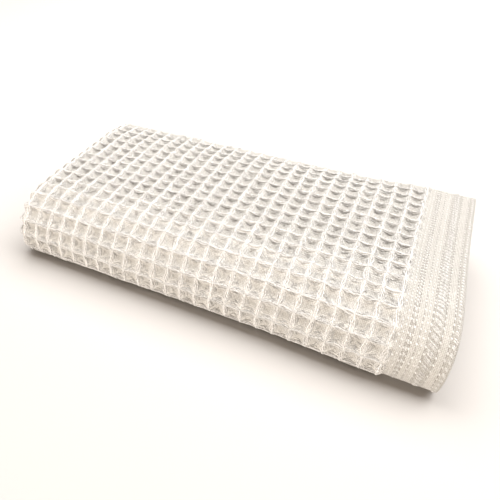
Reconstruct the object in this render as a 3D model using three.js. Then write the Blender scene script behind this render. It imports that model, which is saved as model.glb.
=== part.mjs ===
// A bath towel in a large waffle weave: one cloth with a flat woven border at each hemmed end.
// It is folded in half twice along its length, then in half twice across its width, and lies flat.
// Millimetres. +Z is up, -Y is the round front fold, +X is the end where the borders lie.
// The origin is under the middle of the folded towel, on the surface that it lies on.

import * as THREE from "three";

// The folded towel
const FOLDED_LENGTH = 355;
const FOLDED_WIDTH = 188;
const STACK_HEIGHT = 57;

// The cloth
const WAFFLE_THICKNESS = 2.7;
const BORDER_THICKNESS = 1.7;
const HEM_THICKNESS = 2.3;
const HEM_WIDTH = 7;
const HEM_STEP = 1;
const BORDER_WIDTH = 38;
const BORDER_JOINT = 3;

// Sixteen layers: four in a packet, folded lengthwise, and four packets, folded across the width.
const LAYERS_IN_PACKET = 4;
const LAYERS = 16;
const LAYER_PITCH = (STACK_HEIGHT - WAFFLE_THICKNESS) / (LAYERS - 1);
const PACKET_PITCH = LAYERS_IN_PACKET * LAYER_PITCH;
const PACKET_HALF = 1.5 * LAYER_PITCH + WAFFLE_THICKNESS / 2;

// How far the inner folds and edges stop short of the outer ones
const INNER_FOLD_SHORT = 6;
const INNER_HEM_SHORT = 2.5;
const BACK_FOLD_SHORT = 5;
const INNER_SIDE_SHORT = 8;

// How the stack has settled
const FRONT_LEAN = 7.5;
const FRONT_DROP = 0.03;
const FRONT_LEAN_STARTS = -37;
const FRONT_LEAN_FULL = -68;
const FRONT_SPLAY = 6;
const FRONT_SPLAY_STARTS = 10;
const BORDER_DROP = 0.01;
const BORDER_STARTS = 80;
const BORDER_FULL = 146;
const BACK_DROP = 0.085;
const BACK_DROP_STARTS = 48;

// Slow waves in the stack's height, along its sides and at its ends
const HEIGHT_WAVE = { share: 0.012, lengthX: 325, shiftX: 0.6, lengthY: 300, shiftY: 1.2 };
const SIDE_WAVE = { size: 1.4, length: 380, shift: 1.1 };
const END_WAVE = { size: 1.4, length: 232, lengthUp: 69 };

// The foot: where the stack rests its sides run straight, drawn in a little between the four corners,
// and the thin border beyond them is held just clear of the surface
const FOOT_HEIGHT = 12;
const FOOT_WAIST = 0.6;
const BORDER_LIFT = 0.6;

// Where the mesh is cut: every run at the same places, and each half-turn in equal steps
const LENGTH_CUTS = {
  stations: [-105, -30, 30, BORDER_STARTS, 113, BORDER_FULL],
  outerTurn: 6,
  innerTurn: 4,
};
const WIDTH_CUTS = {
  stations: [-52, FRONT_LEAN_STARTS, 0, BACK_DROP_STARTS, 62, 76],
  outerTurn: 12,
  innerTurn: 4,
};

// A fold in half and then in half again: four straight runs joined by three half-turns, the last of
// them inside the first. Levels and radii are in pitches from the middle of the four. A run or turn
// that faces 1 has the cloth's outer side up or away from the turn's centre, and -1 the other way.
function doubleFold({ firstEnd, outerTurn, farTurn, lastEnd, cuts }) {
  const { outerTurn: wide, innerTurn: tight } = cuts;
  return [
    { from: firstEnd, to: outerTurn, level: 1.5, faces: 1 },
    { centre: outerTurn, level: 0, radius: 1.5, start: 90, sweep: 180, faces: 1, steps: wide },
    { from: outerTurn, to: farTurn, level: -1.5, faces: -1 },
    { centre: farTurn, level: -1, radius: 0.5, start: -90, sweep: 180, faces: 1, steps: tight },
    { from: farTurn, to: outerTurn, level: -0.5, faces: 1 },
    { centre: outerTurn, level: 0, radius: 0.5, start: 270, sweep: -180, faces: -1, steps: tight },
    { from: outerTurn, to: lastEnd, level: 0.5, faces: -1 },
  ];
}

// The points of one straight run, cut at the stations that lie within it.
function runPoints({ from, to, level, faces }, pitch, stations) {
  const inside = stations.filter((place) => (place - from) * (place - to) < 0);
  const places = [from, ...inside, to].sort((one, other) => (one - other) * Math.sign(to - from));
  return places.map((along) => ({ along, level: level * pitch, outAlong: 0, outLevel: faces }));
}

// The points of one half-turn, in equal steps.
function turnPoints({ centre, level, radius, start, sweep, faces, steps }, pitch) {
  return Array.from({ length: steps + 1 }, (_, step) => {
    const angle = THREE.MathUtils.degToRad(start + (sweep * step) / steps);
    return {
      along: centre + radius * pitch * Math.cos(angle),
      level: level * pitch + radius * pitch * Math.sin(angle),
      outAlong: faces * Math.cos(angle),
      outLevel: faces * Math.sin(angle),
    };
  });
}

// The points of a whole fold, each with its distance from the cloth's first edge. The first and last
// runs are cut at the given distances from their edges too, where the cloth's thickness changes.
function foldPoints(sections, pitch, stations, edgeCuts) {
  const points = [];
  sections.forEach((section, index) => {
    const extra = [];
    if (index === 0) extra.push(...edgeCuts.map((cut) => section.from - cut));
    if (index === sections.length - 1) extra.push(...edgeCuts.map((cut) => section.to - cut));
    const isTurn = section.steps > 0;
    const places = isTurn
      ? turnPoints(section, pitch)
      : runPoints(section, pitch, [...stations, ...extra]);
    points.push(...places.slice(index > 0 ? 1 : 0));
  });
  points[0].distance = 0;
  for (let index = 1; index < points.length; index++) {
    const [here, before] = [points[index], points[index - 1]];
    here.distance = before.distance + Math.hypot(here.along - before.along, here.level - before.level);
  }
  return points;
}

const lengthwise = foldPoints(
  doubleFold({
    firstEnd: FOLDED_LENGTH / 2,
    outerTurn: -FOLDED_LENGTH / 2 + PACKET_HALF,
    farTurn: FOLDED_LENGTH / 2 - INNER_FOLD_SHORT - (LAYER_PITCH + WAFFLE_THICKNESS) / 2,
    lastEnd: FOLDED_LENGTH / 2 - INNER_HEM_SHORT,
    cuts: LENGTH_CUTS,
  }),
  LAYER_PITCH,
  LENGTH_CUTS.stations,
  [HEM_WIDTH, HEM_WIDTH + HEM_STEP, BORDER_WIDTH, BORDER_WIDTH + BORDER_JOINT],
);

const widthwise = foldPoints(
  doubleFold({
    firstEnd: FOLDED_WIDTH / 2,
    outerTurn: -FOLDED_WIDTH / 2 + STACK_HEIGHT / 2,
    farTurn: FOLDED_WIDTH / 2 - BACK_FOLD_SHORT - PACKET_PITCH / 2 - PACKET_HALF,
    lastEnd: FOLDED_WIDTH / 2 - INNER_SIDE_SHORT,
    cuts: WIDTH_CUTS,
  }),
  PACKET_PITCH,
  WIDTH_CUTS.stations,
  [],
);

const clothLength = lengthwise.at(-1).distance;

const smooth = (value, start, full) => THREE.MathUtils.smoothstep((value - start) / (full - start), 0, 1);
const wave = (value, length, shift) => Math.sin((2 * Math.PI * value) / length + shift);

// Half the cloth's thickness at a distance along its length: a hem, the flat border, then the waffle.
function halfThickness(distance) {
  const fromEnd = Math.min(distance, clothLength - distance);
  const inside = smooth(fromEnd, HEM_WIDTH, HEM_WIDTH + HEM_STEP);
  const border = THREE.MathUtils.lerp(HEM_THICKNESS, BORDER_THICKNESS, inside);
  const joint = smooth(fromEnd, BORDER_WIDTH, BORDER_WIDTH + BORDER_JOINT);
  return THREE.MathUtils.lerp(border, WAFFLE_THICKNESS, joint) / 2;
}

// A soft stack leans out at the foot of its front fold, sinks at its edges and is a little wavy.
// Heights are only scaled, so the underside stays flat and the layers stay in order.
function settled(point) {
  const front = smooth(point.y, FRONT_LEAN_STARTS, FRONT_LEAN_FULL);
  const back = smooth(point.y, BACK_DROP_STARTS, FOLDED_WIDTH / 2);
  const border = smooth(point.x, BORDER_STARTS, BORDER_FULL);
  const splay = FRONT_SPLAY * smooth(point.x, FRONT_SPLAY_STARTS, FOLDED_LENGTH / 2);
  const lift = (2 * point.z) / STACK_HEIGHT - 1;
  const ripple =
    HEIGHT_WAVE.share *
    wave(point.x, HEIGHT_WAVE.lengthX, HEIGHT_WAVE.shiftX) *
    wave(point.y, HEIGHT_WAVE.lengthY, HEIGHT_WAVE.shiftY);
  const sink = FRONT_DROP * front + BORDER_DROP * border + BACK_DROP * back * (1 - border);
  const foot = 1 - smooth(point.z, 0, FOOT_HEIGHT);
  const [overLength, overWidth] = [(2 * point.x) / FOLDED_LENGTH, (2 * point.y) / FOLDED_WIDTH];
  const side = THREE.MathUtils.lerp(
    SIDE_WAVE.size * wave(point.x, SIDE_WAVE.length, SIDE_WAVE.shift),
    -2 * FOOT_WAIST * (1 - overLength ** 2),
    foot,
  );
  const end = THREE.MathUtils.lerp(
    END_WAVE.size * wave(point.y, END_WAVE.length, (2 * Math.PI * point.z) / END_WAVE.lengthUp),
    -2 * FOOT_WAIST * (1 - overWidth ** 2),
    foot,
  );
  return new THREE.Vector3(
    point.x + (end / 2) * overLength,
    point.y + (side / 2) * overWidth + (FRONT_LEAN * lift - splay) * front,
    point.z * (1 - sink + ripple) + BORDER_LIFT * foot * smooth(point.x, BORDER_FULL, FOLDED_LENGTH / 2),
  );
}

// One point of the cloth's surface: side is 1 on its outer face and -1 on its inner face.
function clothPoint(column, row, side) {
  const half = side * halfThickness(column.distance);
  const reach = column.level + half * column.outLevel;
  return settled(
    new THREE.Vector3(
      column.along + half * column.outAlong,
      row.along + reach * row.outAlong,
      STACK_HEIGHT / 2 + row.level + reach * row.outLevel,
    ),
  );
}

// The cloth is a closed sheet: an outer and an inner face on one grid, joined along its four edges.
function clothGeometry() {
  const columns = lengthwise.length;
  const rows = widthwise.length;
  const positions = [];
  for (const side of [1, -1]) {
    for (const column of lengthwise) {
      for (const row of widthwise) positions.push(...clothPoint(column, row, side));
    }
  }
  const triangles = [];
  const corner = (face, column, row) => (face * columns + column) * rows + row;
  const quad = (a, b, c, d) => triangles.push(a, b, c, a, c, d);
  for (let column = 0; column < columns - 1; column++) {
    for (let row = 0; row < rows - 1; row++) {
      const ring = [
        [column, row],
        [column + 1, row],
        [column + 1, row + 1],
        [column, row + 1],
      ];
      quad(...ring.map(([c, r]) => corner(0, c, r)));
      quad(...ring.reverse().map(([c, r]) => corner(1, c, r)));
    }
  }
  const edge = (from, to) => {
    quad(corner(0, ...from), corner(0, ...to), corner(1, ...to), corner(1, ...from));
  };
  for (let row = 0; row < rows - 1; row++) {
    edge([0, row], [0, row + 1]);
    edge([columns - 1, row + 1], [columns - 1, row]);
  }
  for (let column = 0; column < columns - 1; column++) {
    edge([column + 1, 0], [column, 0]);
    edge([column, rows - 1], [column + 1, rows - 1]);
  }
  const geometry = new THREE.BufferGeometry();
  geometry.setAttribute("position", new THREE.Float32BufferAttribute(positions, 3));
  geometry.setIndex(triangles);
  geometry.computeVertexNormals();
  geometry.computeBoundingBox();
  const middle = geometry.boundingBox.getCenter(new THREE.Vector3());
  geometry.translate(-middle.x, -middle.y, 0);
  return geometry;
}

const cotton = new THREE.MeshStandardMaterial({ color: 0xf2e7da, roughness: 0.95, metalness: 0 });

const cloth = new THREE.Mesh(clothGeometry(), cotton);
cloth.name = "towel_cloth";

const group = new THREE.Group();
group.add(cloth);

export default group;
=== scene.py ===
# A bath towel in a large waffle weave, folded in quarters both ways, with a flat woven border.
# One cotton cloth lies in sixteen layers on a pale floor, its round front fold towards the camera.
# Lengths are in millimetres until a mesh is made, and one cell of the weave is the other unit.

import math

import bpy
import numpy as np
from mathutils import Matrix, Vector


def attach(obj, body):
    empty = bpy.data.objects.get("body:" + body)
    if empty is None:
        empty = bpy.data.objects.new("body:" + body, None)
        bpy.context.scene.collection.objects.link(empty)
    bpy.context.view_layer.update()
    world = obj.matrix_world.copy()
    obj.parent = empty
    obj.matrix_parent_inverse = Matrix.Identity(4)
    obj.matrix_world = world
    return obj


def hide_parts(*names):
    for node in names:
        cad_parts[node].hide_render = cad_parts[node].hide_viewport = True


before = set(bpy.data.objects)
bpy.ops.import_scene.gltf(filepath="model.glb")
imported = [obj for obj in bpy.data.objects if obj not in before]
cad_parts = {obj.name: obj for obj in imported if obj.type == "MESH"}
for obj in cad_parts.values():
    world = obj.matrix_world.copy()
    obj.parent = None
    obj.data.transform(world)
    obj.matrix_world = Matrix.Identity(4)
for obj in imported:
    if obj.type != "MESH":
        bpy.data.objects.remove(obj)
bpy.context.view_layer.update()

MM = 0.001

# The folded towel and its cloth, as its solid has them
FOLDED_LENGTH = 355
FOLDED_WIDTH = 188
STACK_HEIGHT = 57
WAFFLE_THICKNESS = 2.7
BORDER_THICKNESS = 1.7
BORDER_WIDTH = 38
LAYERS_IN_PACKET = 4
LAYERS = 16
LAYER_PITCH = (STACK_HEIGHT - WAFFLE_THICKNESS) / (LAYERS - 1)
PACKET_PITCH = LAYERS_IN_PACKET * LAYER_PITCH
PACKET_HALF = 1.5 * LAYER_PITCH + WAFFLE_THICKNESS / 2
INNER_FOLD_SHORT = 6
INNER_HEM_SHORT = 2.5
BACK_FOLD_SHORT = 5
INNER_SIDE_SHORT = 8

# How the stack has settled
FRONT_LEAN = 7.5
FRONT_DROP = 0.03
FRONT_LEAN_STARTS = -37
FRONT_LEAN_FULL = -68
FRONT_SPLAY = 6
FRONT_SPLAY_STARTS = 10
BORDER_DROP = 0.01
BORDER_STARTS = 80
BORDER_FULL = 146
BACK_DROP = 0.085
BACK_DROP_STARTS = 48
HEIGHT_WAVE = {"share": 0.012, "length_x": 325, "shift_x": 0.6, "length_y": 300, "shift_y": 1.2}
SIDE_WAVE = {"size": 1.4, "length": 380, "shift": 1.1}
END_WAVE = {"size": 1.4, "length": 232, "length_up": 69}
FOOT_HEIGHT = 12
FOOT_WAIST = 0.6
BORDER_LIFT = 0.6

# The weave: square cells, with rib 0 of the length and of the width at these places
CELL_LENGTH = 12.82
CELL_WIDTH = 12.70
RIB_ZERO_X = -170.0
RIB_ZERO_Y = 7.45
LAST_RIB = 24


def smooth(value, start, full):
    share = np.clip((value - start) / (full - start), 0, 1)
    return share * share * (3 - 2 * share)


def wave(value, length, shift):
    return np.sin(2 * np.pi * value / length + shift)


# The fold

TURN_STEPS = 48


def double_fold(first_end, outer_turn, far_turn, last_end):
    """A fold in half and again in half: four runs joined by three half-turns, the last inside the
    first. Levels and radii are in pitches. Facing 1, the outer side is up or away from the centre."""
    return [
        {"start": first_end, "end": outer_turn, "level": 1.5, "faces": 1},
        {"centre": outer_turn, "level": 0, "radius": 1.5, "start": 90, "sweep": 180, "faces": 1},
        {"start": outer_turn, "end": far_turn, "level": -1.5, "faces": -1},
        {"centre": far_turn, "level": -1, "radius": 0.5, "start": -90, "sweep": 180, "faces": 1},
        {"start": far_turn, "end": outer_turn, "level": -0.5, "faces": 1},
        {"centre": outer_turn, "level": 0, "radius": 0.5, "start": 270, "sweep": -180, "faces": -1},
        {"start": outer_turn, "end": last_end, "level": 0.5, "faces": -1},
    ]


def fold_table(sections, pitch):
    """Where a fold runs, by distance from the cloth's first edge, and where each section starts."""
    names = ("along", "level", "out_along", "out_level")
    table = {name: [] for name in names}
    starts = []
    for section in sections:
        faces = section["faces"]
        starts.append(len(table["along"]))
        if "radius" in section:
            share = np.linspace(0, 1, TURN_STEPS + 1)
            angle = np.radians(section["start"] + section["sweep"] * share)
            reach = section["radius"] * pitch
            places = (
                section["centre"] + reach * np.cos(angle),
                section["level"] * pitch + reach * np.sin(angle),
                faces * np.cos(angle),
                faces * np.sin(angle),
            )
        else:
            ends = np.array([section["start"], section["end"]], float)
            level = np.full(2, section["level"] * pitch)
            places = (ends, level, np.zeros(2), np.full(2, faces))
        for name, values in zip(names, places):
            table[name].extend(values)
    table = {name: np.array(values, float) for name, values in table.items()}
    steps = np.hypot(np.diff(table["along"]), np.diff(table["level"]))
    table["distance"] = np.concatenate([[0], np.cumsum(steps)])
    table["starts"] = [table["distance"][start] for start in starts]
    return table


def at_distance(table, distance):
    return [
        np.interp(distance, table["distance"], table[name])
        for name in ("along", "level", "out_along", "out_level")
    ]


lengthwise = fold_table(
    double_fold(
        first_end=FOLDED_LENGTH / 2,
        outer_turn=-FOLDED_LENGTH / 2 + PACKET_HALF,
        far_turn=FOLDED_LENGTH / 2 - INNER_FOLD_SHORT - (LAYER_PITCH + WAFFLE_THICKNESS) / 2,
        last_end=FOLDED_LENGTH / 2 - INNER_HEM_SHORT,
    ),
    LAYER_PITCH,
)
widthwise = fold_table(
    double_fold(
        first_end=FOLDED_WIDTH / 2,
        outer_turn=-FOLDED_WIDTH / 2 + STACK_HEIGHT / 2,
        far_turn=FOLDED_WIDTH / 2 - BACK_FOLD_SHORT - PACKET_PITCH / 2 - PACKET_HALF,
        last_end=FOLDED_WIDTH / 2 - INNER_SIDE_SHORT,
    ),
    PACKET_PITCH,
)
CLOTH_LENGTH = lengthwise["distance"][-1]
CLOTH_WIDTH = widthwise["distance"][-1]


def settled(x, y, z):
    """A soft stack leans out at the foot of its front fold, sinks at its edges and is a little wavy."""
    front = smooth(y, FRONT_LEAN_STARTS, FRONT_LEAN_FULL)
    back = smooth(y, BACK_DROP_STARTS, FOLDED_WIDTH / 2)
    border = smooth(x, BORDER_STARTS, BORDER_FULL)
    splay = FRONT_SPLAY * smooth(x, FRONT_SPLAY_STARTS, FOLDED_LENGTH / 2)
    lift = 2 * z / STACK_HEIGHT - 1
    ripple = (
        HEIGHT_WAVE["share"]
        * wave(x, HEIGHT_WAVE["length_x"], HEIGHT_WAVE["shift_x"])
        * wave(y, HEIGHT_WAVE["length_y"], HEIGHT_WAVE["shift_y"])
    )
    sink = FRONT_DROP * front + BORDER_DROP * border + BACK_DROP * back * (1 - border)
    foot = 1 - smooth(z, 0, FOOT_HEIGHT)
    over_length, over_width = 2 * x / FOLDED_LENGTH, 2 * y / FOLDED_WIDTH
    side = SIDE_WAVE["size"] * wave(x, SIDE_WAVE["length"], SIDE_WAVE["shift"]) * (1 - foot)
    side -= 2 * FOOT_WAIST * (1 - over_length**2) * foot
    end = END_WAVE["size"] * wave(y, END_WAVE["length"], 2 * np.pi * z / END_WAVE["length_up"])
    end = end * (1 - foot) - 2 * FOOT_WAIST * (1 - over_width**2) * foot
    border_lift = BORDER_LIFT * foot * smooth(x, BORDER_FULL, FOLDED_LENGTH / 2)
    return (
        x + end / 2 * over_length,
        y + side / 2 * over_width + (FRONT_LEAN * lift - splay) * front,
        z * (1 - sink + ripple) + border_lift,
    )


def folded(column_distance, row_distance, height):
    """Points of the folded cloth, height above the middle of its thickness, on its outer side."""
    along, level, out_along, out_level = at_distance(lengthwise, column_distance)
    row_along, row_level, row_out_along, row_out_level = at_distance(widthwise, row_distance)
    reach = level + height * out_level
    return np.stack(
        settled(
            along + height * out_along,
            row_along + reach * row_out_along,
            STACK_HEIGHT / 2 + row_level + reach * row_out_level,
        ),
        axis=-1,
    )


# The solid is centred on X and Y, and so is this cloth.
outline = folded(
    *np.meshgrid(lengthwise["distance"], widthwise["distance"], indexing="ij"),
    WAFFLE_THICKNESS / 2,
).reshape(-1, 3)
CENTRE = (outline.min(0) + outline.max(0)) / 2 * (1, 1, 0)


# Cells by distance: even along the length, and even across the top, but gathered where the front fold
# turns under, so that a rib runs along its foot

ROW_GATHER = 0.45

FIRST_CELL = (FOLDED_LENGTH / 2 - CENTRE[0] - RIB_ZERO_X) / CELL_LENGTH
row_places = np.unique(np.concatenate([widthwise["distance"], np.arange(0, CLOTH_WIDTH, 1.0)]))
middle_line = folded(
    np.full_like(row_places, FOLDED_LENGTH / 2), row_places, WAFFLE_THICKNESS / 2
)
turn_start, turn_end = widthwise["starts"][1:3]
closer = 1 + ROW_GATHER * smooth(row_places[1:], (turn_start + turn_end) / 2, turn_end)
row_steps = np.linalg.norm(np.diff(middle_line, axis=0), axis=1) * closer / CELL_WIDTH
row_cells = np.concatenate([[0], np.cumsum(row_steps)])
top_place = FOLDED_WIDTH / 2
top_y = np.interp(top_place, row_places, middle_line[:, 1]) - CENTRE[1]
row_cells += (RIB_ZERO_Y - top_y) / CELL_WIDTH - np.interp(top_place, row_places, row_cells)


def column_distance(cells):
    return (FIRST_CELL - cells) * CELL_LENGTH


def column_cells(distance):
    return FIRST_CELL - distance / CELL_LENGTH


def row_distance(cells):
    return np.interp(cells, row_cells, row_places)


def row_cells_at(distance):
    return np.interp(distance, row_places, row_cells)


# The weave's relief. Open ribs stand above the pressed cloth, and some cloth is left under every pit.

CREST_STANDS = 1.6
PIT_DEPTH = 3.8
LEAST_CLOTH = 0.15
EDGE_ROUND = 1.3
EDGE_THINNER = 0.3
SELVEDGE_STARTS = 0.8
SELVEDGE = 3.0
FLOOR_GAP = 0.02
HEM_WIDTH = 4.5
HEM_STEP = 0.6
HEM_RAISED = 0.32
JOINT_BACK = 0.8
JOINT_FALLS = 0.9
JOINT_RISES = 1.5

# Where the outer face comes free of what presses on it, as shares of the way round a fold
FRONT_OPENS = 0.25
FRONT_OPEN = 0.75
BEHIND_OPENS = 0.5
BEHIND_OPEN = 0.9
LEFT_END_CLOSES = -0.2

# How soon past the border the cells may be uneven, and how near to the sides
EVEN_PAST_JOINT = 1
UNEVEN_PAST_JOINT = 16
EVEN_NEAR_HEM = 12
UNEVEN_FROM_SIDE = 10

# From a rib to the middle of a pit: distance in cells, and share of the height. Between its crossings
# a rib sags, one across the towel more than one along it.
RIB_PROFILE = {
    "distance": (0.00, 0.06, 0.14, 0.26, 0.41, 0.50),
    "height": (1.00, 0.93, 0.74, 0.46, 0.14, 0.00),
}
COLUMN_SAG = 0.28
ROW_SAG = 0.12
RIB_BLEND = 3.0
CROSSING_RISE = 1.10

# Woven lines across the border: distance from the hem's edge, depth and half width
BORDER_LINES = {
    "distance": (5.2, 10.6, 18.2, 23.7, 27.6, 30.4),
    "depth": (0.40, 0.22, 0.22, 0.25, 0.20, 0.20),
    "half_width": (0.60, 0.50, 0.50, 0.50, 0.50, 0.50),
}
# Painted shade of the border's ground by distance from the hem's edge: darker under its lines of
# floats, so that the gaps between them look shaded
PAINTED_BORDER_SHADE = {
    "distance": (0.0, 5.0, 6.0, 9.8, 10.8, 18.0, 18.8, 27.2, 28.0, 30.2, 31.0, 38.0),
    "share": (0.62, 0.62, 0.42, 0.42, 0.66, 0.66, 0.42, 0.42, 0.66, 0.66, 0.46, 0.46),
}
# Painted shade of a rib and of a pit's bottom, where the painted shade in the border's grooves is 1
PAINTED_RIB_SHADE = 0.03
PAINTED_PIT_SHADE = 0.54
PIT_TONE = 1.2

# How uneven the weave is, with one value for each crossing on a grid that covers the whole cloth
GRID_CELLS = 160
GRID_START_X = 80
GRID_START_Y = 20
CROSSING_SHIFT = 0.016
CROSSING_UNEVEN = 0.025
PIT_UNEVEN = 0.07

random = np.random.default_rng(5)
grid = (GRID_CELLS, GRID_CELLS)
crossing_shift_x = random.normal(0, CROSSING_SHIFT, grid)
crossing_shift_y = random.normal(0, CROSSING_SHIFT, grid)
crossing_height = random.normal(0, CROSSING_UNEVEN, grid)
cell_depth = random.normal(0, PIT_UNEVEN, grid)


def on_crossings(values, cells_x, cells_y):
    """A value for each crossing of ribs, blended smoothly between them."""
    x, y = cells_x + GRID_START_X, cells_y + GRID_START_Y
    column, row = np.floor(x).astype(int), np.floor(y).astype(int)
    share_x, share_y = smooth(x - column, 0, 1), smooth(y - row, 0, 1)
    column, row = column % GRID_CELLS, row % GRID_CELLS
    next_column, next_row = (column + 1) % GRID_CELLS, (row + 1) % GRID_CELLS
    near = values[column, row] * (1 - share_x) + values[next_column, row] * share_x
    far = values[column, next_row] * (1 - share_x) + values[next_column, next_row] * share_x
    return near * (1 - share_y) + far * share_y


def from_hem_edge(distance):
    """Distance along the length from the nearer hem."""
    return np.minimum(distance, CLOTH_LENGTH - distance)


def from_side_edge(width_distance):
    """Distance across the width from the nearer side."""
    return np.minimum(width_distance, CLOTH_WIDTH - width_distance)


def edge_rounding(from_edge, from_side):
    """Share of the thickness, which falls off in a round right at the cloth's edges."""
    near_edge = np.clip(np.minimum(from_edge, from_side) / EDGE_ROUND, 0, 1)
    return EDGE_THINNER + (1 - EDGE_THINNER) * np.sqrt(1 - (1 - near_edge) ** 2)


def waffle_share(distance, cells_y):
    """1 in the waffle and 0 in the border, with a scalloped joint."""
    joint = BORDER_WIDTH - JOINT_BACK - np.cos(2 * np.pi * cells_y)
    return smooth(from_hem_edge(distance), joint - JOINT_FALLS, joint + JOINT_RISES)


def open_share(distance, width_distance):
    """1 where the outer face lies open, and 0 where it is pressed on another layer or the floor."""
    _, _, out_along, out_level = at_distance(lengthwise, distance)
    _, _, row_out_along, row_out_level = at_distance(widthwise, width_distance)
    top_or_front = width_distance < widthwise["starts"][2]
    round_front = smooth(np.abs(row_out_along), FRONT_OPENS, FRONT_OPEN)
    open_front = np.where(row_out_level > 0, 1, round_front)
    open_back = smooth(np.abs(row_out_along), BEHIND_OPENS, BEHIND_OPEN)
    open_row = np.where(top_or_front, open_front, open_back)
    first_run = distance < lengthwise["starts"][2]
    open_column = np.where(first_run & (out_level > LEFT_END_CLOSES), 1.0, 0.0)
    open_end = smooth(np.abs(out_along), BEHIND_OPENS, BEHIND_OPEN)
    return np.maximum(open_row * open_column, open_end)


def rib_rise(cells_x, cells_y, pressed):
    """Share of the full height: 1 on a rib and 0 in the middle of a pit. A pressed rib is level."""
    from_x = np.abs(cells_x - np.round(cells_x))
    from_y = np.abs(cells_y - np.round(cells_y))
    profile = RIB_PROFILE["distance"], RIB_PROFILE["height"]
    column_rib = np.interp(from_x, *profile) * (1 - COLUMN_SAG * np.sin(np.pi * from_y) ** 2)
    row_sag = ROW_SAG * (1 - pressed)
    row_rib = np.interp(from_y, *profile) * (1 - row_sag * np.sin(np.pi * from_x) ** 2)
    rise = (column_rib**RIB_BLEND + row_rib**RIB_BLEND) ** (1 / RIB_BLEND)
    rise = np.minimum(rise, 1 + (CROSSING_RISE - 1) * (1 - pressed))
    return rise * (1 + on_crossings(crossing_height, cells_x, cells_y))


def border_face(from_edge):
    """Height and painted shade of the border and its hem, with its woven lines, shaded in their grooves."""
    hem = 1 - smooth(from_edge, HEM_WIDTH - HEM_STEP, HEM_WIDTH)
    height = BORDER_THICKNESS / 2 + HEM_RAISED * hem
    shade = np.interp(from_edge, PAINTED_BORDER_SHADE["distance"], PAINTED_BORDER_SHADE["share"])
    for place, depth, half in zip(*BORDER_LINES.values()):
        inside_line = np.clip(1 - np.abs(from_edge - place) / half, 0, 1)
        height = height - depth * inside_line
        # Painted shade in the groove of each line
        shade = np.maximum(shade, inside_line)
    return height, shade


def outer_face(distance, width_distance, cells_x, cells_y):
    """Height of the outer face above the middle of the cloth, and its painted shade, darker down in the
    pits and in the border's grooves.
    """
    turn_start, turn_end = widthwise["starts"][1:3]
    pressed = smooth(width_distance, (turn_start + turn_end) / 2, (turn_start + 3 * turn_end) / 4)
    rise = rib_rise(cells_x, cells_y, pressed)
    stands = CREST_STANDS * open_share(distance, width_distance)
    depth = PIT_DEPTH * (1 + on_crossings(cell_depth, cells_x + 0.5, cells_y + 0.5))
    depth = np.minimum(depth, WAFFLE_THICKNESS + stands - LEAST_CLOTH)
    waffle = WAFFLE_THICKNESS / 2 + stands - depth * (1 - rise)
    # Painted shade, darker with depth down a pit
    painted_waffle_shade = PAINTED_RIB_SHADE + (PAINTED_PIT_SHADE - PAINTED_RIB_SHADE) * np.clip(1 - rise, 0, 1) ** PIT_TONE

    from_edge, from_side = from_hem_edge(distance), from_side_edge(width_distance)
    border, painted_border_shade = border_face(from_edge)
    share = waffle_share(distance, cells_y)
    height = border + (waffle - border) * share
    inside = smooth(from_side, SELVEDGE_STARTS, SELVEDGE)
    height = BORDER_THICKNESS / 2 + (height - BORDER_THICKNESS / 2) * inside
    shade = (painted_border_shade + (painted_waffle_shade - painted_border_shade) * share) * inside
    return height * edge_rounding(from_edge, from_side), shade


def shifted_cells(cells_x, cells_y, distance, width_distance):
    """Cells are a little uneven, but not at the hems, at the border's joint or along the sides."""
    from_edge = from_hem_edge(distance)
    past_joint = smooth(from_edge, BORDER_WIDTH + EVEN_PAST_JOINT, BORDER_WIDTH + UNEVEN_PAST_JOINT)
    shift_x = on_crossings(crossing_shift_x, cells_x, cells_y) * past_joint
    shift_y = on_crossings(crossing_shift_y, cells_x, cells_y)
    shift_y = shift_y * smooth(from_side_edge(width_distance), 0, UNEVEN_FROM_SIDE)
    shift_y = shift_y * smooth(from_edge, EVEN_NEAR_HEM, BORDER_WIDTH)
    return cells_x + shift_x, cells_y + shift_y


# The cloth's mesh: lines across the cloth, each with its own cuts along the width. A cell is cut where
# its profile bends, an edge where its round does, and hidden cloth has long faces.

CELL_CUTS = (0.00, 0.06, 0.14, 0.26, 0.41, 0.59, 0.74, 0.86, 0.94)
COARSE_CELL_CUTS = (0.00, 0.10, 0.28, 0.50, 0.72, 0.90)
EDGE_LINES = (0.0, 0.4, EDGE_ROUND, 2.6)
SIDE_CUTS = (0.0, 0.45, EDGE_ROUND, SELVEDGE)
LAST_HEM_LINES = (3.9, 4.6, 5.4)
BORDER_LINES_START = 6.5
BORDER_LINE_STEP = 1.6
AT_JOINT = (-1.5, -0.5, 0.5)
TURN_CUTS = 12
LINES_IN_A_RUN = 12
LINES_IN_A_TURN = 5
FAR_TURN_CELLS = 0.8
INNER_LINES_START = 60
INNER_LINE_STEP = 30
INNER_LINES_ROUND_OUTER_TURN = 11
INNER_LINES_ROUND_FAR_TURN = 7


def cell_lines(start, end, cuts):
    """Cuts inside the cells from start to end, in cells."""
    cells = np.arange(math.floor(start) - 1, math.ceil(end) + 1)
    places = (cells[:, None] + np.array(cuts)).ravel()
    return places[(places > start + 1e-6) & (places < end - 1e-6)]


def merged(*groups, least=0.05):
    """All places of several groups in order, without any that lie too near another."""
    places = np.unique(np.concatenate([np.atleast_1d(group) for group in groups]))
    kept = [places[0]]
    for place in places[1:-1]:
        if place - kept[-1] > least:
            kept.append(place)
    if places[-1] - kept[-1] <= least:
        kept.pop()
    return np.array(kept + [places[-1]])


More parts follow.
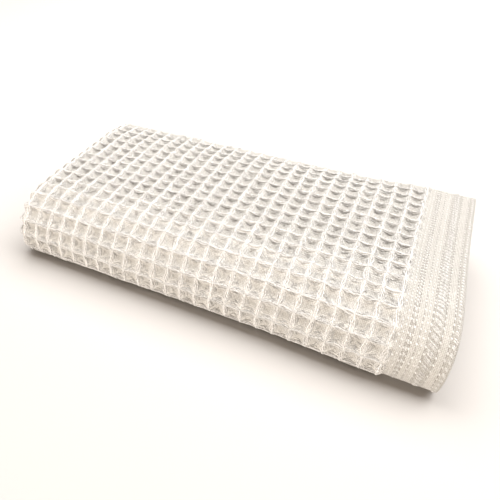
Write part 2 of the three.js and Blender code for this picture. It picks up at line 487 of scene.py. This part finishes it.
def width_cuts(fine_sections, cuts, hidden_step):
    """Places across the width, in distance: cell cuts in the named sections, and few elsewhere."""
    starts = widthwise["starts"] + [CLOTH_WIDTH]
    groups = [[*SIDE_CUTS, CLOTH_WIDTH - EDGE_ROUND, CLOTH_WIDTH]]
    for section, (start, end) in enumerate(zip(starts, starts[1:])):
        if section in fine_sections:
            first, last = row_cells_at(start), row_cells_at(end)
            groups.append(row_distance(cell_lines(first, last, cuts)))
        else:
            step = hidden_step if section % 2 == 0 else (end - start) / TURN_CUTS
            count = max(2, math.ceil((end - start) / step))
            groups.append(np.linspace(start, end, count + 1))
    return merged(*groups, least=0.3)


def length_lines():
    """Distances of the lines across the cloth, each with the name of its cuts."""
    starts = lengthwise["starts"] + [CLOTH_LENGTH]
    grooves = np.array(BORDER_LINES["distance"])
    halves = np.array(BORDER_LINES["half_width"])
    hem = merged(
        [*EDGE_LINES, HEM_WIDTH - HEM_STEP],
        np.arange(BORDER_LINES_START, BORDER_WIDTH + AT_JOINT[0], BORDER_LINE_STEP),
        grooves,
        grooves - halves,
        grooves + halves,
        BORDER_WIDTH + np.array(AT_JOINT),
        least=0.3,
    )
    fold_end = column_cells(starts[2]) - 0.5
    shown = column_distance(cell_lines(fold_end, LAST_RIB + 0.001, CELL_CUTS))
    far_turn = (starts[3] + starts[4]) / 2
    far_cells = column_cells(far_turn)
    far_ends = far_cells - FAR_TURN_CELLS, far_cells + FAR_TURN_CELLS
    far = column_distance(cell_lines(*far_ends, CELL_CUTS))
    hidden = [
        np.linspace(shown.max(), far.min(), LINES_IN_A_RUN)[1:-1],
        np.linspace(far.max(), starts[5], LINES_IN_A_RUN)[1:],
        np.linspace(starts[5], starts[6], LINES_IN_A_TURN)[1:],
        np.linspace(starts[6], CLOTH_LENGTH - BORDER_WIDTH, LINES_IN_A_RUN)[1:],
    ]
    last_hem = CLOTH_LENGTH - np.array(EDGE_LINES + LAST_HEM_LINES)
    named = [(hem, "shown"), (shown, "shown"), (far, "nose"), (last_hem, "end")]
    named += [(places, "hidden") for places in hidden]
    lines = sorted((place, name) for places, name in named for place in places)
    left_turn = starts[1] - 1.0
    return [
        (place, "nose" if place > left_turn and name == "shown" else name)
        for place, name in lines
    ]


# Cuts across the width: by cells on the faces that show, coarser ones all the way round the folds at
# the ends, and few where the cloth is hidden
CUTS = {
    "shown": width_cuts({0, 1, 3}, CELL_CUTS, 11.0),
    "nose": width_cuts(set(range(7)), COARSE_CELL_CUTS, 11.0),
    "hidden": width_cuts(set(), (), 22.0),
    "end": width_cuts(set(), (), 9.0),
}


def joined(first, first_places, second, second_places):
    """Faces between two lines of vertices: squares where both have a vertex, or else triangles."""
    faces = []
    one, two = 0, 0
    while one < len(first) - 1 or two < len(second) - 1:
        next_one = first_places[one + 1] if one < len(first) - 1 else math.inf
        next_two = second_places[two + 1] if two < len(second) - 1 else math.inf
        if abs(next_one - next_two) < 1e-6:
            faces.append((first[one], second[two], second[two + 1], first[one + 1]))
            one, two = one + 1, two + 1
        elif next_one < next_two:
            faces.append((first[one], second[two], first[one + 1]))
            one += 1
        else:
            faces.append((first[one], second[two], second[two + 1]))
            two += 1
    return faces


def outer_points(place, width):
    """A line of points across the outer face, and their painted shades."""
    x, y = np.full(len(width), column_cells(place)), row_cells_at(width)
    height, shade = outer_face(np.full(len(width), place), width, x, y)
    moved_x, moved_y = shifted_cells(x, y, place, width)
    where = folded(column_distance(moved_x), row_distance(moved_y), height)
    where[:, 2] = np.maximum(where[:, 2], FLOOR_GAP)
    return where, shade


def inner_points(place, width):
    """A line of points across the plain inner face, and their shades."""
    from_edge = from_hem_edge(place)
    half = WAFFLE_THICKNESS / 2 if from_edge > BORDER_WIDTH + 2 else BORDER_THICKNESS / 2
    half = half * edge_rounding(from_edge, from_side_edge(width))
    return folded(np.full(len(width), place), width, -half), np.zeros(len(width))


def inner_lines(outer_lines):
    """The inner face has lines round its folds, and elsewhere few."""
    starts = lengthwise["starts"]
    places = merged(
        [0.0, EDGE_ROUND, HEM_WIDTH, BORDER_WIDTH, BORDER_WIDTH + 3],
        np.arange(INNER_LINES_START, starts[1], INNER_LINE_STEP),
        np.linspace(starts[1], starts[2], INNER_LINES_ROUND_OUTER_TURN),
        np.linspace(starts[3], starts[4], INNER_LINES_ROUND_FAR_TURN),
        [place for place, name in outer_lines if name in ("hidden", "end") and place < CLOTH_LENGTH],
        [CLOTH_LENGTH],
        least=1.0,
    )
    return [(place, "end") for place in places]


def cloth_mesh():
    """The whole cloth as one closed mesh: an outer face with its weave and a plain inner face."""
    outer_lines = length_lines()
    sides = []
    points, cells, shades, faces = [], [], [], []
    count = 0
    for line_points, lines, is_outer in (
        (outer_points, outer_lines, True),
        (inner_points, inner_lines(outer_lines), False),
    ):
        rows = []
        for place, name in lines:
            width = CUTS[name]
            where, shade = line_points(place, width)
            points.append(where - CENTRE)
            cells.append(np.stack([np.full(len(width), column_cells(place)), row_cells_at(width)], axis=-1))
            shades.append(shade)
            rows.append((np.arange(count, count + len(width)), width, place))
            count += len(width)
        for (one, one_places, _), (two, two_places, _) in zip(rows, rows[1:]):
            found = joined(one, one_places, two, two_places)
            faces += found if is_outer else [face[::-1] for face in found]
        sides.append(rows)
    outer, inner = sides
    faces += joined(inner[0][0], inner[0][1], outer[0][0], outer[0][1])
    faces += joined(outer[-1][0], outer[-1][1], inner[-1][0], inner[-1][1])
    for corner, turned in ((0, False), (-1, True)):
        rim = joined(
            [row[0][corner] for row in outer],
            [row[2] for row in outer],
            [row[0][corner] for row in inner],
            [row[2] for row in inner],
        )
        faces += [face[::-1] for face in rim] if turned else rim
    return np.concatenate(points), np.concatenate(cells), np.concatenate(shades), faces


# The yarns that float on the weave. On each side of a rib they lie side by side down the wall of the
# pit, each shorter than the last, so that every pit is a nest of shrinking squares. The table has a
# column for each float from a rib down. Lengths along and off the rib are in cells, lift and radius
# in millimetres, and darker is a share of the way to the yarn's dark colour. That darker is painted
# shade: the floats lower in a pit are darker.

FLOATS = {
    "half_length": (0.56, 0.50, 0.36, 0.26),
    "off_end": (0.00, 0.040, 0.12, 0.22),
    "off_middle": (0.00, 0.094, 0.18, 0.27),
    "lift": (0.40, 0.38, 0.22, 0.12),
    "radius": (0.50, 0.43, 0.38, 0.33),
    "darker": (0.00, 0.00, 0.35, 0.60),
    "points": (7, 7, 5, 5),
}
FLOAT_UNEVEN = {
    "spread": 0.18,
    "off": 0.018,
    "curl": 0.028,
    "wave": 0.02,
    "lift": 0.10,
    "radius": 0.14,
    "darker": 0.28,
}
FLOAT_WAVES = 2.2
FLOAT_PHASE = 3
FLOAT_TAPER = 0.35
END_DIP = 0.50
ALONG_NARROWER = 0.72
ACROSS_DARKER = 0.06

# Lines of short floats across the border, one column each, by distance from the hem's edge. A stroke
# is a few thin strands side by side. A dot is one thick strand that stands little above the cloth.
BORDER_FLOATS = {
    "distance": (2.5, 5.2, 10.6, 14.4, 18.2, 20.9, 23.7, 27.6, 29.1, 30.6, 33.2, 35.8),
    "shift": (0, 0, 0, 0, 0, 0, 0, 0, 0, 0, 0, 1.8),
    "pitch": (3.4, 3.6, 3.6, 3.8, 3.6, 3.6, 3.6, 3.6, 3.4, 3.6, 3.6, 3.6),
    "strands": (2, 1, 1, 3, 1, 1, 1, 1, 2, 1, 1, 1),
    "length": (1.7, 1.8, 1.8, 3.2, 1.8, 1.8, 1.8, 1.8, 1.5, 1.8, 1.9, 1.9),
    "slant": (-1.5, -0.4, -0.4, -3.1, -0.4, -0.4, -0.4, -0.4, -0.9, -0.4, -0.4, -0.4),
    "radius": (0.56, 0.72, 0.72, 0.54, 0.72, 0.60, 0.72, 0.70, 0.50, 0.70, 0.66, 0.66),
    "lift": (-0.10, -0.28, -0.28, -0.02, -0.28, -0.32, -0.28, -0.28, -0.14, -0.28, -0.28, -0.28),
    "darker": (0.45, 0.57, 0.57, 0.45, 0.57, 0.57, 0.57, 0.57, 0.45, 0.57, 0.57, 0.57),
}
BORDER_UNEVEN = {"place": 0.16, "distance": 0.14, "length": 0.14, "radius": 0.14}
STRAND_SPACING = 0.82
BORDER_FLOAT_POINTS = 4
BORDER_TAPER = 0.4
BORDER_DIP = 0.45
FIRST_PAST_EDGE = EDGE_ROUND + 1
LAST_PAST_FOOT = 4

# Loose fibres: lengths, radius and lift in millimetres
FIBRES = {
    "in_a_cell": 3,
    "points": 4,
    "shortest": 1.8,
    "longest": 5.0,
    "radius": 0.22,
    "lift": 0.60,
    "curl": 0.6,
    "palest": -0.1,
    "darkest": 0.5,
}


def on_cloth(cells_x, cells_y, off_x, off_y, lift, radius):
    """Places of yarns that follow the cloth's outer face, moved off by parts of a cell."""
    x, y = cells_x + off_x, cells_y + off_y
    distance, width = column_distance(x), row_distance(y)
    height, _ = outer_face(distance, width, x, y)
    moved_x, moved_y = shifted_cells(x, y, distance, width)
    where = folded(column_distance(moved_x), row_distance(moved_y), height + lift)
    where[..., 2] = np.maximum(where[..., 2], radius + FLOOR_GAP)
    return (where - CENTRE) * MM


def rib_floats(ribs, middles, across, numbers):
    """Floats on ribs, each by its rib and by the middle of its cell along that rib."""
    ribs, middles = (places.reshape(-1, 1) for places in np.meshgrid(ribs, middles))
    made = []
    for number in numbers:
        form = {name: column[number] for name, column in FLOATS.items()}
        for side in (-1, 1) if number else (1,):
            rough = random.normal(0, 1, (6, len(ribs), 1))
            share = np.linspace(-1, 1, form["points"])[None, :]
            bow = 1 - share**2
            off = form["off_end"] + (form["off_middle"] - form["off_end"]) * bow
            off = off * (1 if across else ALONG_NARROWER) * (1 + FLOAT_UNEVEN["spread"] * rough[0])
            off = side * off + FLOAT_UNEVEN["off"] * rough[1] * bow
            off = off + FLOAT_UNEVEN["curl"] * rough[4] * np.sin(math.pi * share)
            ripple = np.sin(FLOAT_WAVES * math.pi * share + FLOAT_PHASE * rough[5])
            off = off + FLOAT_UNEVEN["wave"] * ripple * bow
            lift = form["lift"] - END_DIP * share**6 + FLOAT_UNEVEN["lift"] * rough[2]
            radius = form["radius"] * (1 + FLOAT_UNEVEN["radius"] * np.clip(rough[3], -2, 2))
            radius = radius * (1 - FLOAT_TAPER * share**6)
            along = middles + share * form["half_length"]
            across_rib = ribs + 0 * share
            x, y = (across_rib, along) if across else (along, across_rib)
            off_x, off_y = (off, 0) if across else (0, off)
            places = on_cloth(x, y, off_x, off_y, lift, radius)
            # Painted shade by the float's depth in the pit, and a random tone of its own
            tone = form["darker"] + random.uniform(0, FLOAT_UNEVEN["darker"], len(ribs))
            tone = tone + (ACROSS_DARKER if across else 0)
            made.append((places, radius * MM, tone))
    return made


def loose_fibres():
    """Short curly ends of cotton that lie on the weave, a few in each cell of the faces that show."""
    cells_x, cells_y = (
        np.tile(middles.ravel(), FIBRES["in_a_cell"])[:, None]
        for middles in np.meshgrid(column_middles, row_middles)
    )
    count = len(cells_x)
    off_x, off_y = random.uniform(-0.5, 0.5, (2, count, 1))
    direction = random.uniform(0, 2 * math.pi, (count, 1))
    share = np.linspace(-1, 1, FIBRES["points"])[None, :]
    half = random.uniform(FIBRES["shortest"], FIBRES["longest"], (count, 1)) / CELL_LENGTH / 2
    curl = random.normal(0, FIBRES["curl"], (count, 1)) * share**2
    x = cells_x + off_x + half * (share * np.cos(direction) - curl * np.sin(direction))
    y = cells_y + off_y + half * (share * np.sin(direction) + curl * np.cos(direction))
    radius = np.full(x.shape, FIBRES["radius"])
    places = on_cloth(x, y, 0, 0, FIBRES["lift"] * (1 - share**4) + 0 * x, radius)
    return [(places, radius * MM, random.uniform(FIBRES["palest"], FIBRES["darkest"], count))]


def border_floats():
    """Short floats in lines across the border, from the back edge down to the foot of the front."""
    made = []
    last_place = widthwise["starts"][2] + LAST_PAST_FOOT
    for column in zip(*BORDER_FLOATS.values()):
        line = dict(zip(BORDER_FLOATS, column))
        places = np.arange(FIRST_PAST_EDGE + line["shift"], last_place, line["pitch"])
        strands = (np.arange(line["strands"]) - (line["strands"] - 1) / 2) * STRAND_SPACING
        places = np.add.outer(places, strands).reshape(-1, 1)
        share = np.linspace(-1, 1, BORDER_FLOAT_POINTS)[None, :]
        rough = np.clip(random.normal(0, 1, (4, len(places), 1)), -2, 2)
        reach = share * (1 + BORDER_UNEVEN["length"] * rough[3])
        width = places + BORDER_UNEVEN["place"] * rough[0] + reach * line["length"] / 2
        from_hem = line["distance"] + BORDER_UNEVEN["distance"] * rough[1] + reach * line["slant"]
        radius = line["radius"] * (1 + BORDER_UNEVEN["radius"] * rough[2])
        radius = radius * (1 - BORDER_TAPER * share**4)
        lift = line["lift"] - BORDER_DIP * share**4 + 0 * width
        x, y = column_cells(from_hem), row_cells_at(width)
        tone = line["darker"] + random.uniform(0, FLOAT_UNEVEN["darker"], len(places))
        made.append((on_cloth(x, y, 0, 0, lift, radius), radius * MM, tone))
    return made


def cloth_piece(name, mesh):
    """A piece of the towel, on its one body."""
    piece = bpy.data.objects.new(name, mesh)
    bpy.context.scene.collection.objects.link(piece)
    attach(piece, "root")
    return piece


def yarn_tree(material):
    """Geometry nodes that turn lines with a radius at each point into round yarns."""
    tree = bpy.data.node_groups.new("round_yarns", "GeometryNodeTree")
    tree.interface.new_socket("Geometry", in_out="INPUT", socket_type="NodeSocketGeometry")
    sides = tree.interface.new_socket("Sides", in_out="INPUT", socket_type="NodeSocketInt")
    tree.interface.new_socket("Geometry", in_out="OUTPUT", socket_type="NodeSocketGeometry")
    given = add(tree, "NodeGroupInput").outputs
    rails = add(tree, "GeometryNodeMeshToCurve", {0: given[0]}).outputs[0]
    radius = add(
        tree, "GeometryNodeInputNamedAttribute", {"Name": "yarn_radius"}, data_type="FLOAT"
    ).outputs[0]
    rail_place = add(tree, "GeometryNodeSplineParameter").outputs["Length"]
    rails = add(
        tree,
        "GeometryNodeStoreNamedAttribute",
        {"Geometry": rails, "Name": "yarn_length", "Value": rail_place},
        data_type="FLOAT",
        domain="POINT",
    ).outputs[0]
    ring = add(
        tree, "GeometryNodeCurvePrimitiveCircle", {"Resolution": given["Sides"], "Radius": 1.0}
    ).outputs[0]
    ring_place = add(tree, "GeometryNodeSplineParameter").outputs["Factor"]
    ring = add(
        tree,
        "GeometryNodeStoreNamedAttribute",
        {"Geometry": ring, "Name": "yarn_turn", "Value": ring_place},
        data_type="FLOAT",
        domain="POINT",
    ).outputs[0]
    tubes = add(
        tree,
        "GeometryNodeCurveToMesh",
        {"Curve": rails, "Profile Curve": ring, "Scale": radius, "Fill Caps": True},
    ).outputs[0]
    tubes = add(tree, "GeometryNodeSetShadeSmooth", {0: tubes}).outputs[0]
    tubes = add(tree, "GeometryNodeRealizeInstances", {0: tubes}).outputs[0]
    tubes = add(tree, "GeometryNodeSetMaterial", {"Geometry": tubes, "Material": material}).outputs[0]
    add(tree, "NodeGroupOutput", {0: tubes})
    return tree, sides.identifier


def round_yarns(name, groups, sides, material):
    """A piece of round yarns along lines, made by geometry nodes and then kept as a plain mesh."""
    mesh = bpy.data.meshes.new(name + "_lines")
    points, radii, tones, edges = [], [], [], []
    count = 0
    for places, radius, tone in groups:
        yarns, steps = places.shape[:2]
        index = np.arange(count, count + yarns * steps).reshape(yarns, steps)
        edges.append(np.stack([index[:, :-1].ravel(), index[:, 1:].ravel()], axis=-1))
        points.append(places.reshape(-1, 3))
        radii.append(np.broadcast_to(radius, (yarns, steps)).ravel())
        # Each float's tone: painted shade by its depth in a pit, and a random tone of its own
        tones.append(np.repeat(np.clip(tone, 0, 1), steps))
        count += yarns * steps
    mesh.from_pydata(np.concatenate(points).tolist(), np.concatenate(edges).tolist(), [])
    for attribute, values in (("yarn_radius", radii), ("yarn_tone_and_shade", tones)):
        values = np.concatenate(values).astype(np.float32)
        mesh.attributes.new(attribute, "FLOAT", "POINT").data.foreach_set("value", values)
    source = bpy.data.objects.new(name + "_lines", mesh)
    bpy.context.scene.collection.objects.link(source)
    tree, sides_input = yarn_tree(material)
    modifier = source.modifiers.new("yarns", "NODES")
    modifier.node_group = tree
    modifier[sides_input] = sides
    depsgraph = bpy.context.evaluated_depsgraph_get()
    made = bpy.data.meshes.new_from_object(source.evaluated_get(depsgraph))
    bpy.data.objects.remove(source)
    made.name = name
    return cloth_piece(name, made)


# Materials

# Real yarns of the ground lie about 0.6 mm apart, the plies of a float turn once in about 2 mm, and
# the fuzz on them is finer still. All are drawn coarser here, so that they show in the picture, and
# so are the loose fibres and the strokes and dots of the border.
GROUND_YARN = 1.1
GROUND_FUZZ = CELL_LENGTH / 5
YARN_TWIST = 5.5
YARN_FUZZ = 10 / 7
PLIES = 2

# The wave texture's own period at a scale of 1
WAVE_PERIOD = 2 * math.pi / 20


def linear(code):
    """The linear colour of an sRGB hex code."""
    parts = [int(code[place : place + 2], 16) / 255 for place in (1, 3, 5)]
    return [part / 12.92 if part <= 0.04045 else ((part + 0.055) / 1.055) ** 2.4 for part in parts] + [1]


def add(tree, kind, inputs=(), **settings):
    """A node with its settings. Inputs are pairs of a socket and a value or another node's output."""
    node = tree.nodes.new(kind)
    for name, value in settings.items():
        setattr(node, name, value)
    for socket, value in dict(inputs).items():
        if isinstance(value, bpy.types.NodeSocket):
            tree.links.new(value, node.inputs[socket])
        else:
            node.inputs[socket].default_value = value
    return node


def waffle_cotton():
    """Undyed cotton in a thick honeycomb weave. It is matt and warm cream, brightest along its ribs.
    Painted shade greys it down in the pits and under the border's floats, and darkens it between the
    yarns of the plain ground."""
    material = bpy.data.materials.new("waffle_cotton")
    material.use_nodes = True
    tree = material.node_tree
    tree.nodes.clear()
    weave = add(tree, "ShaderNodeUVMap", uv_map="weave").outputs[0]
    shade = add(tree, "ShaderNodeAttribute", attribute_name="shade").outputs["Fac"]
    yarns = [
        add(
            tree,
            "ShaderNodeTexWave",
            {"Vector": weave, "Scale": WAVE_PERIOD / period, "Distortion": 1.0, "Detail": 2.0},
            bands_direction=direction,
        ).outputs["Fac"]
        for direction, period in (("X", GROUND_YARN / CELL_LENGTH), ("Y", GROUND_YARN / CELL_WIDTH))
    ]
    knots = add(tree, "ShaderNodeMath", {0: yarns[0], 1: yarns[1]}, operation="MULTIPLY").outputs[0]
    fuzz = add(
        tree,
        "ShaderNodeTexNoise",
        {0: weave, "Scale": CELL_LENGTH / GROUND_FUZZ, "Detail": 3.0, "Distortion": 2.5},
    ).outputs[0]
    height = add(tree, "ShaderNodeMath", {0: knots, 1: fuzz}, operation="ADD").outputs[0]
    # The cream cotton, darkened by the painted shade of the pits and of the border
    ground_with_painted_shade = add(
        tree,
        "ShaderNodeMix",
        {0: shade, 6: linear("#dedbd6"), 7: linear("#9a968f")},
        data_type="RGBA",
    ).outputs[2]
    # Painted shade between the yarns of the plain ground, where the weave's relief is low
    above_gap_shade = add(
        tree,
        "ShaderNodeMapRange",
        {"Value": height, "From Min": 0.50, "From Max": 0.80, "To Min": 0.0, "To Max": 1.0},
    ).outputs[0]
    painted_gap_shade = add(
        tree,
        "ShaderNodeMix",
        {0: above_gap_shade, 6: linear("#c8c5c0"), 7: linear("#ffffff")},
        data_type="RGBA",
    ).outputs[2]
    colour = add(
        tree,
        "ShaderNodeMix",
        {0: 1.0, 6: ground_with_painted_shade, 7: painted_gap_shade},
        data_type="RGBA",
        blend_type="MULTIPLY",
    ).outputs[2]
    bump = add(
        tree, "ShaderNodeBump", {"Strength": 0.8, "Distance": 0.5 * MM, "Height": height}
    ).outputs[0]
    shader = add(
        tree,
        "ShaderNodeBsdfPrincipled",
        {
            "Base Color": colour,
            "Roughness": 0.92,
            "Normal": bump,
            "Sheen Weight": 0.2,
            "Sheen Roughness": 0.5,
            "Specular IOR Level": 0.25,
        },
    )
    add(tree, "ShaderNodeOutputMaterial", {0: shader.outputs[0]})
    return material


def ply_yarn():
    """Cotton yarn of two plies. It is matt and nearly white, with a soft twist that shows as a rope's
    does, and each float has its own slight tone. Painted shade darkens the valleys between the plies
    and the floats deeper down in the pits."""
    material = bpy.data.materials.new("ply_yarn")
    material.use_nodes = True
    tree = material.node_tree
    tree.nodes.clear()
    length = add(tree, "ShaderNodeAttribute", attribute_name="yarn_length").outputs["Fac"]
    turn = add(tree, "ShaderNodeAttribute", attribute_name="yarn_turn").outputs["Fac"]
    tone = add(tree, "ShaderNodeAttribute", attribute_name="yarn_tone_and_shade").outputs["Fac"]
    turns = add(
        tree, "ShaderNodeMath", {0: length, 1: 1 / (YARN_TWIST * MM), 2: turn}, operation="MULTIPLY_ADD"
    ).outputs[0]
    angle = add(
        tree, "ShaderNodeMath", {0: turns, 1: PLIES * 2 * math.pi}, operation="MULTIPLY"
    ).outputs[0]
    plies = add(tree, "ShaderNodeMath", {0: angle}, operation="COSINE").outputs[0]
    coordinates = add(tree, "ShaderNodeTexCoord").outputs["Object"]
    fuzz = add(
        tree, "ShaderNodeTexNoise", {0: coordinates, "Scale": 1 / (YARN_FUZZ * MM), "Detail": 2.0}
    ).outputs[0]
    height = add(
        tree, "ShaderNodeMath", {0: plies, 1: 0.4, 2: fuzz}, operation="MULTIPLY_ADD"
    ).outputs[0]
    # Painted shade, darker in the valleys between the plies
    painted_valley_shade = add(
        tree,
        "ShaderNodeMapRange",
        {"Value": height, "From Min": 0.0, "From Max": 0.8, "To Min": 0.7, "To Max": -0.6},
    ).outputs[0]
    shade = add(tree, "ShaderNodeMath", {0: painted_valley_shade, 1: tone}, operation="ADD").outputs[0]
    colour = add(
        tree,
        "ShaderNodeMix",
        {0: shade, 6: linear("#e5e2de"), 7: linear("#aaa6a0")},
        data_type="RGBA",
        clamp_factor=True,
    ).outputs[2]
    bump = add(
        tree, "ShaderNodeBump", {"Strength": 0.9, "Distance": 0.35 * MM, "Height": height}
    ).outputs[0]
    shader = add(
        tree,
        "ShaderNodeBsdfPrincipled",
        {
            "Base Color": colour,
            "Roughness": 0.9,
            "Normal": bump,
            "Sheen Weight": 0.2,
            "Sheen Roughness": 0.5,
            "Specular IOR Level": 0.25,
        },
    )
    add(tree, "ShaderNodeOutputMaterial", {0: shader.outputs[0]})
    return material


def paper_floor():
    """A smooth paper sweep: matt and pale, with no texture of its own, so that it shows only light
    and the towel's soft shadow."""
    material = bpy.data.materials.new("paper_floor")
    material.use_nodes = True
    tree = material.node_tree
    tree.nodes.clear()
    shader = add(
        tree,
        "ShaderNodeBsdfPrincipled",
        {"Base Color": linear("#bab6b2"), "Roughness": 0.9, "Specular IOR Level": 0.2},
    )
    add(tree, "ShaderNodeOutputMaterial", {0: shader.outputs[0]})
    return material


# The towel

points, cells, shades, faces = cloth_mesh()
mesh = bpy.data.meshes.new("towel")
mesh.from_pydata((points * MM).tolist(), [], [tuple(int(index) for index in face) for face in faces])
corners = np.zeros(len(mesh.loops), np.int32)
mesh.loops.foreach_get("vertex_index", corners)
mesh.uv_layers.new(name="weave").data.foreach_set("uv", cells[corners].astype(np.float32).ravel())
# Painted shade, darker down in the pits and under the border's floats, which darkens the cotton
mesh.attributes.new("shade", "FLOAT", "POINT").data.foreach_set("value", shades.astype(np.float32))
mesh.shade_smooth()
mesh.materials.append(waffle_cotton())
towel = cloth_piece("towel", mesh)
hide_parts("towel_cloth")

yarn = ply_yarn()
back_edge = math.ceil(row_cells_at(SELVEDGE))
foot = math.floor(row_cells_at(widthwise["starts"][2])) + 1
left_end = math.ceil(column_cells(lengthwise["starts"][2]))
column_ribs = np.arange(left_end, LAST_RIB + 1)
column_middles = np.arange(left_end - 1, LAST_RIB) + 0.5
row_ribs = np.arange(back_edge, foot)
row_middles = np.arange(back_edge - 1, foot) + 0.5
pieces = [
    round_yarns("floats_across", rib_floats(column_ribs, row_middles, True, (0, 1)), 5, yarn),
    round_yarns("floats_along", rib_floats(row_ribs, column_middles, False, (0, 1)), 5, yarn),
    round_yarns(
        "floats_in_pits",
        rib_floats(column_ribs, row_middles, True, (2, 3))
        + rib_floats(row_ribs, column_middles, False, (2, 3)),
        4,
        yarn,
    ),
    round_yarns("border_floats", border_floats(), 5, yarn),
    round_yarns("loose_fibres", loose_fibres(), 3, yarn),
]

# The floor, the light and the camera. Sizes and places of the floor and lights are in metres.

FLOOR_SIZE = 8.0
bpy.ops.mesh.primitive_plane_add(size=FLOOR_SIZE)
floor = bpy.context.object
floor.name = "floor"
floor.data.materials.append(paper_floor())

# A faint warm light from all round, as a room's walls give, keeps the shadows brown.
WORLD_COLOUR = "#ffd0a0"
WORLD_STRENGTH = 0.14
world = bpy.data.worlds.new("studio")
bpy.context.scene.world = world
world.use_nodes = True
world.node_tree.nodes["Background"].inputs["Color"].default_value = linear(WORLD_COLOUR)
world.node_tree.nodes["Background"].inputs["Strength"].default_value = WORLD_STRENGTH


def soft_light(name, place, aim, size, watts, colour):
    light = bpy.data.lights.new(name, "AREA")
    light.shape = "RECTANGLE"
    light.size, light.size_y = size
    light.energy = watts
    light.color = linear(colour)[:3]
    holder = bpy.data.objects.new(name, light)
    holder.location = place
    holder.rotation_euler = (Vector(aim) - Vector(place)).to_track_quat("-Z", "Y").to_euler()
    bpy.context.scene.collection.objects.link(holder)


# The large light hangs a little behind the towel, so its shadow falls softly in front.
soft_light(
    "overhead_light",
    place=(0.40, 0.68, 1.5),
    aim=(0.40, 0.68, 0),
    size=(3.6, 2.2),
    watts=127,
    colour="#ffffff",
)
soft_light(
    "low_front_light",
    place=(-0.3, -2.0, 0.16),
    aim=(0, -0.08, 0.03),
    size=(1.8, 0.26),
    watts=55,
    colour="#fff8f0",
)

CAMERA_PLACE = (114.81, -365.49, 299.89)
CAMERA_DOWN = 38.19
CAMERA_TURN = 26.42
CAMERA_ROLL = 0.33
SENSOR = 36.0
LENS = 37.51
SHIFT = 0.15
camera = bpy.data.cameras.new("camera")
camera.sensor_width = SENSOR
camera.lens = LENS
camera.shift_x = SHIFT
stand = bpy.data.objects.new("camera", camera)
turn = Matrix.Rotation(math.radians(CAMERA_TURN), 3, "Z")
tilt = Matrix.Rotation(math.radians(90 - CAMERA_DOWN), 3, "X")
roll = Matrix.Rotation(math.radians(CAMERA_ROLL), 3, "Z")
stand.rotation_euler = (turn @ tilt @ roll).to_euler()
stand.location = Vector(CAMERA_PLACE) * MM
bpy.context.scene.collection.objects.link(stand)
bpy.context.scene.camera = stand
bpy.context.scene.view_settings.view_transform = "Standard"
